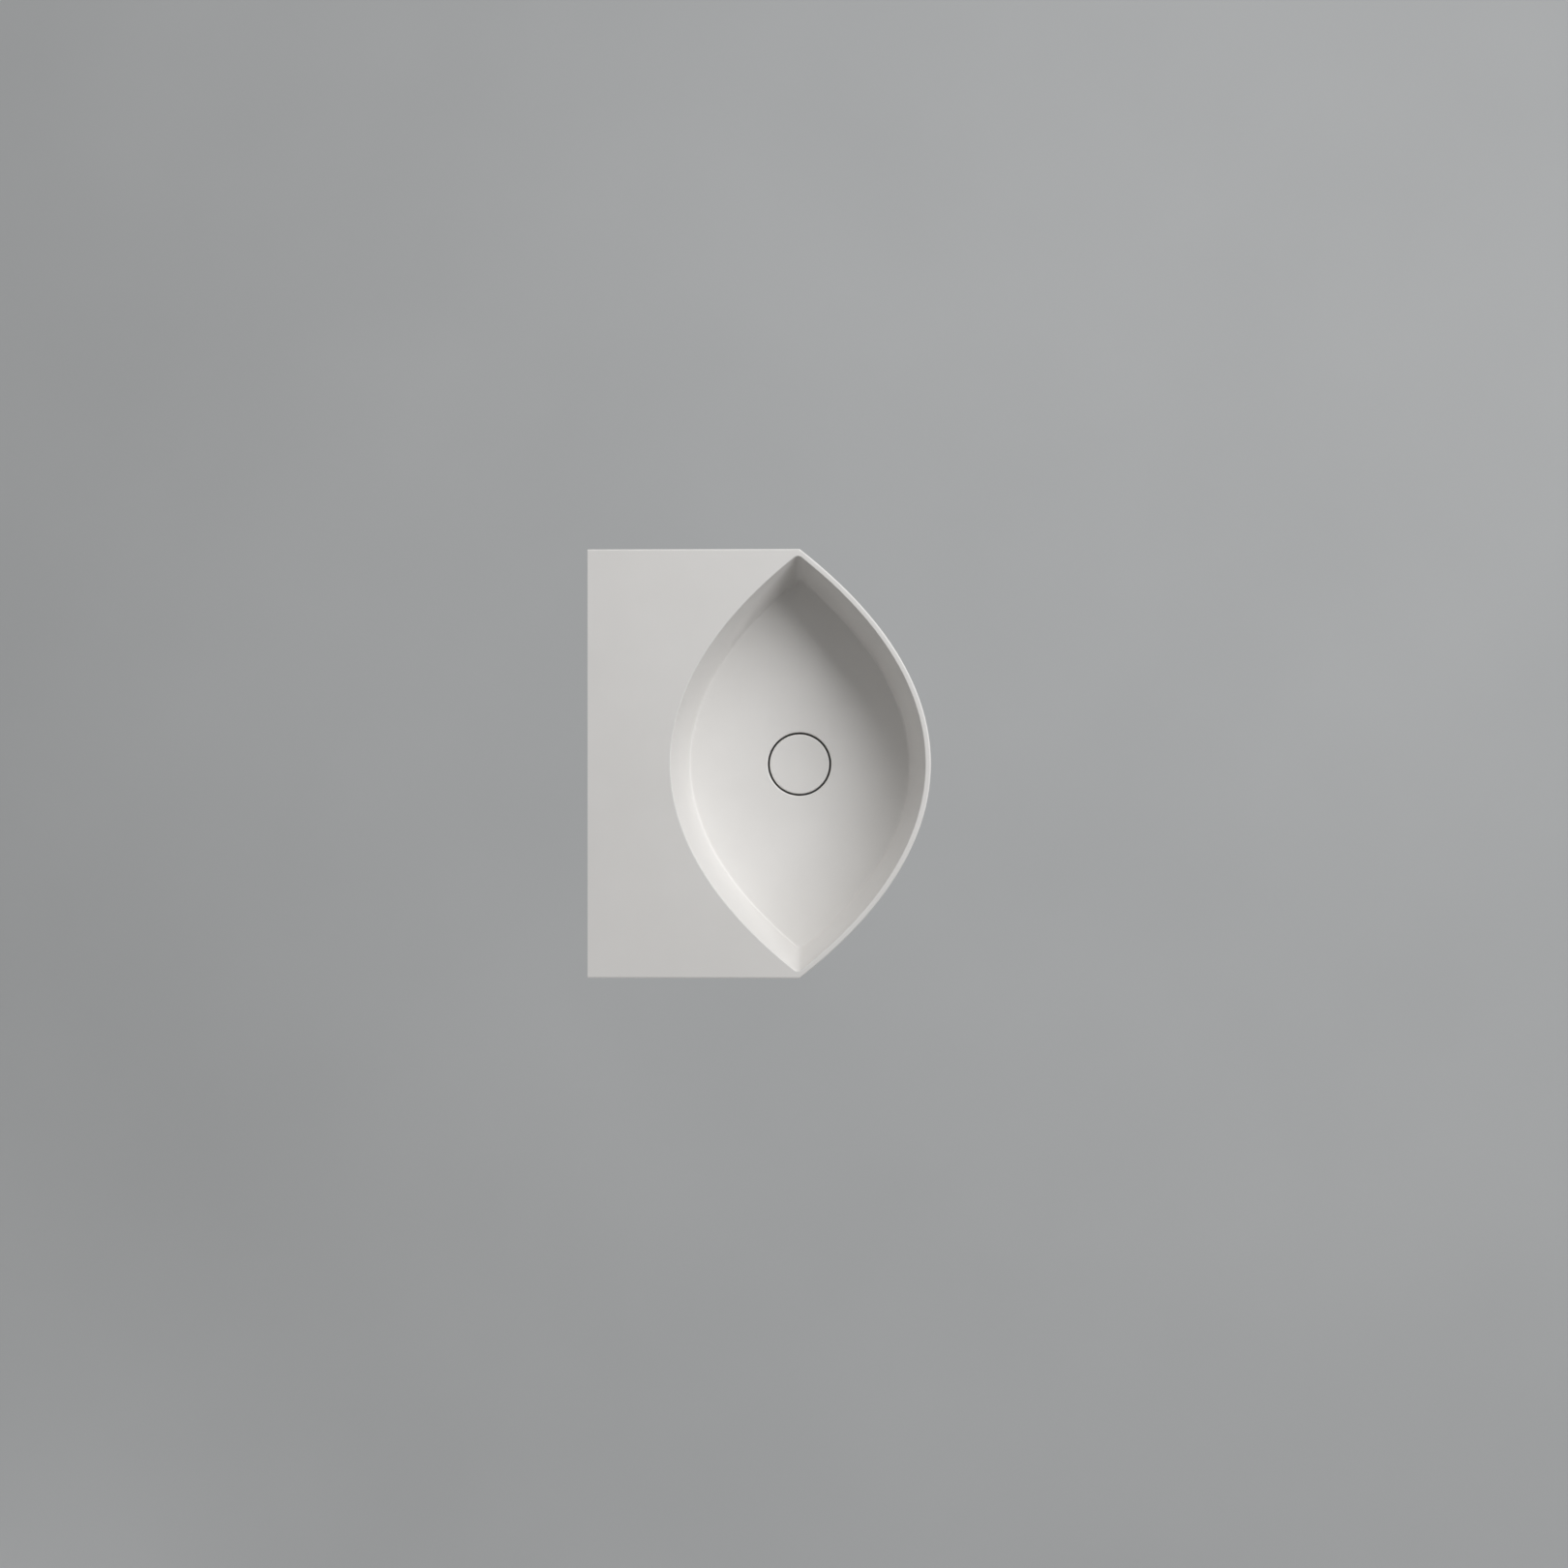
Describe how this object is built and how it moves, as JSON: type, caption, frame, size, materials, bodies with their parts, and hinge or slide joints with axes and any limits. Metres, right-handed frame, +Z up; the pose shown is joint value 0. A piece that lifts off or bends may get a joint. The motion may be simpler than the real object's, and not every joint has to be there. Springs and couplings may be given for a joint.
{
  "type": "wall-hung basin",
  "caption": "Wall-hung washbasin with a flat rectangular shelf, a pointed-oval bowl, a push-open drain cover, a bottle trap and hidden wall brackets.",
  "frame": {"origin": "centre of the four wall bolts, on the wall plane", "axes": "+X along the wall, +Y into the wall, +Z up; the bowl's front faces -Y"},
  "size_m": [0.5, 0.425, 0.3658],
  "materials": {
    "matt_white": "matt white",
    "gunmetal": "brushed, dark gunmetal",
    "brass": "turned",
    "steel": "plain",
    "zinc": "zinc plated",
    "rubber": "black",
    "white_plastic": "natural"
  },
  "bodies": {
    "basin": {"basin_body": "matt_white", "latch_sleeve": "brass", "latch_screw": "brass", "latch_spring": "steel", "waste_body": "gunmetal", "flange_gasket": "rubber", "cone_gasket": "rubber", "slip_washer": "white_plastic", "back_nut": "brass", "inlet_nut": "gunmetal", "inlet_washer": "rubber", "inlet_tube": "gunmetal", "trap_head": "gunmetal", "head_nut": "gunmetal", "head_seal": "rubber", "outlet_nut": "gunmetal", "outlet_seal": "rubber", "outlet_pipe": "gunmetal", "wall_rosette": "gunmetal", "rosette_ring": "rubber", "left_bracket": "zinc", "right_bracket": "zinc", "bracket_pads": "rubber", "bracket_inserts": "brass", "bracket_screws": "steel", "bracket_washers": "steel"},
    "drain_plug": {"drain_cover": "matt_white", "cover_carrier": "brass", "plug_seal": "rubber", "plunger_stem": "steel"},
    "cup_seal_ring": {"cup_seal": "rubber"},
    "cup": {"trap_cup": "gunmetal"}
  },
  "joints": [
    {"name": "drain_cover_lift", "type": "slide", "parent": "basin", "child": "drain_plug", "axis": [0, 0, 1], "range_m": [0, 0.009], "deforming": ["latch_spring"]},
    {"name": "cup_lower", "type": "slide", "parent": "basin", "child": "cup_seal_ring", "axis": [0, 0, -1], "range_m": [0, 0.009]},
    {"name": "cup_turn", "type": "hinge", "parent": "cup_seal_ring", "child": "cup", "pos_m": [0, -0.245, -0.2148], "axis": [0, 0, -1], "range_deg": [0, 1080]}
  ],
  "couplings": [
    {"joint": "cup_lower", "follows": "cup_turn", "m_per_rad": 0.00047746}
  ]
}
